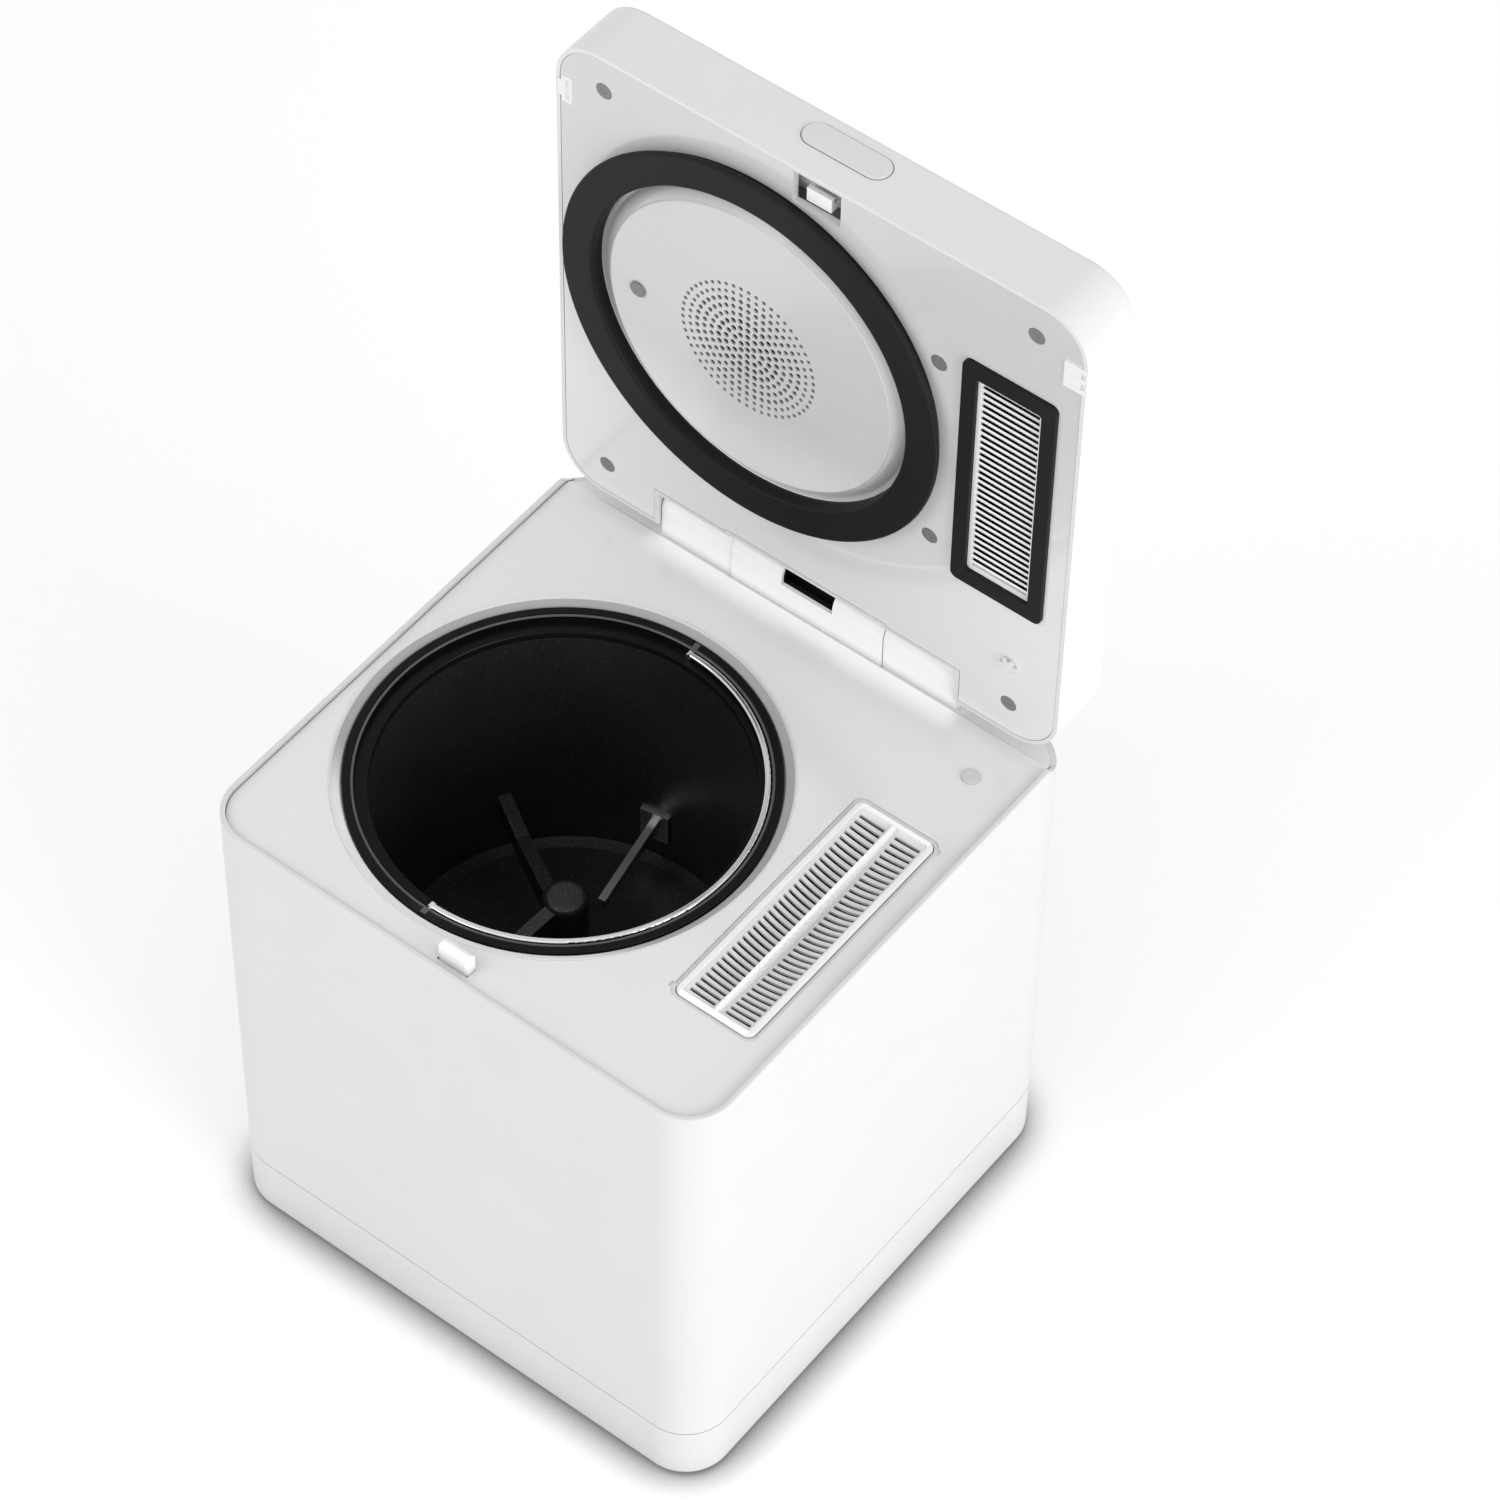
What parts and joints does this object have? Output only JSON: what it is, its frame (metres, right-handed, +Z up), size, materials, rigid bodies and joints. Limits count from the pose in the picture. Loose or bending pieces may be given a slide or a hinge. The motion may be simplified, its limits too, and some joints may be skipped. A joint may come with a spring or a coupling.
{
  "type": "electric food waste composter",
  "caption": "White electric kitchen food waste composter, lid open on its rear hinge, with a lift-out black bucket and bail handle, a stirrer, a deck vent insert and a ribbed lid filter window.",
  "frame": {"origin": "middle of the outline with the lid open, on the floor", "axes": "+X to the user's right, +Y to the back (hinge side), +Z up"},
  "size_m": [0.3, 0.311, 0.6084],
  "materials": {
    "body_white": "satin",
    "deck_white": "gloss",
    "bezel_grey": "gloss",
    "trim_white": "gloss",
    "plunger_grey": "gloss",
    "rim_grey": "satin",
    "rubber_black": "matte",
    "rubber_white": "matte",
    "rim_black": "satin",
    "inner_black": "matte",
    "bucket_coat": "satin",
    "cast_metal": "matte",
    "gear_case": "matte",
    "bronze": "satin",
    "motor_can": "satin",
    "board_green": "gloss",
    "contact_brass": "satin",
    "screw_steel": "satin",
    "touch_black": "gloss",
    "dish_grey": "gloss",
    "plug_grey": "satin",
    "blade_steel": "brushed",
    "polished": "polished",
    "gear_white": "satin",
    "filter_grey": "matte",
    "carbon": "rough"
  },
  "bodies": {
    "housing": {"outer_shell": "body_white", "base_pan": "body_white", "feet": "rubber_black", "base_screws": "screw_steel", "deck_panel": "deck_white", "opening_bezel": "bezel_grey", "pot_well": "cast_metal", "heater_plate": "cast_metal", "temp_sensor": "inner_black", "gearbox_housing": "gear_case", "gearbox_cover": "gear_case", "gearbox_bushings": "bronze", "motor": "motor_can", "filter_bay": "deck_white", "exhaust_duct": "inner_black", "fan_housing": "inner_black", "power_board": "board_green", "control_board": "board_green", "mains_inlet": "inner_black", "inlet_contacts": "contact_brass", "inlet_screws": "screw_steel", "lid_switch": "inner_black", "latch_hook": "trim_white", "hinge_cover": "trim_white", "cable_guide": "inner_black", "hinge_knuckle_left": "trim_white", "hinge_knuckle_right": "trim_white"},
    "lid": {"lid_shell": "body_white", "touch_strip": "touch_black", "lid_inner_panel": "deck_white", "lid_gasket": "rubber_black", "vent_dish": "dish_grey", "steam_sensor": "plug_grey", "lid_filter_gasket": "rubber_black", "lid_grille": "trim_white", "lid_duct": "inner_black", "screw_plugs": "plug_grey", "lid_screws": "screw_steel", "lid_bumpers": "rubber_white", "switch_boss": "deck_white", "hinge_pins": "screw_steel", "latch_spring": "screw_steel"},
    "latch": {"release_button": "body_white", "latch_slider": "trim_white"},
    "bucket": {"bucket": "bucket_coat", "bucket_rim": "rim_black", "bucket_trim_ring": "rim_grey", "bucket_bearing": "rim_black", "fixed_blades": "blade_steel"},
    "bail": {"bail_handle": "polished"},
    "stirrer": {"stirrer_shaft": "blade_steel", "stirrer_arms": "bucket_coat"},
    "output": {"output_coupler": "gear_white"},
    "intermediate": {"intermediate_gear": "gear_white"},
    "motor_rotor": {"motor_pinion": "contact_brass"},
    "fan_wheel": {"fan_rotor": "inner_black"},
    "plunger": {"switch_plunger": "plunger_grey"},
    "filter": {"filter_grille": "trim_white", "filter_case": "filter_grey", "filter_carbon": "carbon"}
  },
  "joints": [
    {"name": "lid_hinge", "type": "hinge", "parent": "housing", "child": "lid", "pos_m": [0, 0.13285, 0.31915], "axis": [-1, 0, 0], "range_deg": [-90, 0]},
    {"name": "lid_latch", "type": "slide", "parent": "lid", "child": "latch", "axis": [0, 0, -1], "range_m": [0, 0.0035], "stiffness_N_per_m": 400, "springref_m": -0.004, "deforming": ["latch_spring"]},
    {"name": "lid_switch_press", "type": "slide", "parent": "housing", "child": "plunger", "axis": [0, 0, -1], "range_m": [0, 0.0014], "stiffness_N_per_m": 200, "springref_m": -0.002},
    {"name": "bucket_lift", "type": "slide", "parent": "housing", "child": "bucket", "axis": [0, 0, 1], "range_m": [0, 0.195]},
    {"name": "bail_fold", "type": "hinge", "parent": "bucket", "child": "bail", "pos_m": [-0.0325, -0.027, 0.297], "axis": [0, -1, 0], "range_deg": [0, 180]},
    {"name": "output_turn", "type": "hinge", "parent": "housing", "child": "output", "pos_m": [-0.0325, -0.027, 0.1], "axis": [0, 0, 1], "continuous": true},
    {"name": "stirrer_turn", "type": "hinge", "parent": "bucket", "child": "stirrer", "pos_m": [-0.0325, -0.027, 0.16], "axis": [0, 0, 1], "continuous": true},
    {"name": "intermediate_turn", "type": "hinge", "parent": "housing", "child": "intermediate", "pos_m": [0.0178, -0.00354, 0.09], "axis": [0, 0, 1], "continuous": true},
    {"name": "motor_turn", "type": "hinge", "parent": "housing", "child": "motor_rotor", "pos_m": [0.05891, -0.01851, 0.084], "axis": [0, 0, 1], "continuous": true},
    {"name": "fan_turn", "type": "hinge", "parent": "housing", "child": "fan_wheel", "pos_m": [0.097, 0.1265, 0.18], "axis": [0, 1, 0], "continuous": true},
    {"name": "filter_lift", "type": "slide", "parent": "housing", "child": "filter", "axis": [0, 0, 1], "range_m": [0, 0.085]}
  ],
  "couplings": [
    {"joint": "stirrer_turn", "follows": "output_turn", "ratio": 1},
    {"joint": "intermediate_turn", "follows": "output_turn", "ratio": -4.2857},
    {"joint": "motor_turn", "follows": "output_turn", "ratio": 17.143}
  ]
}
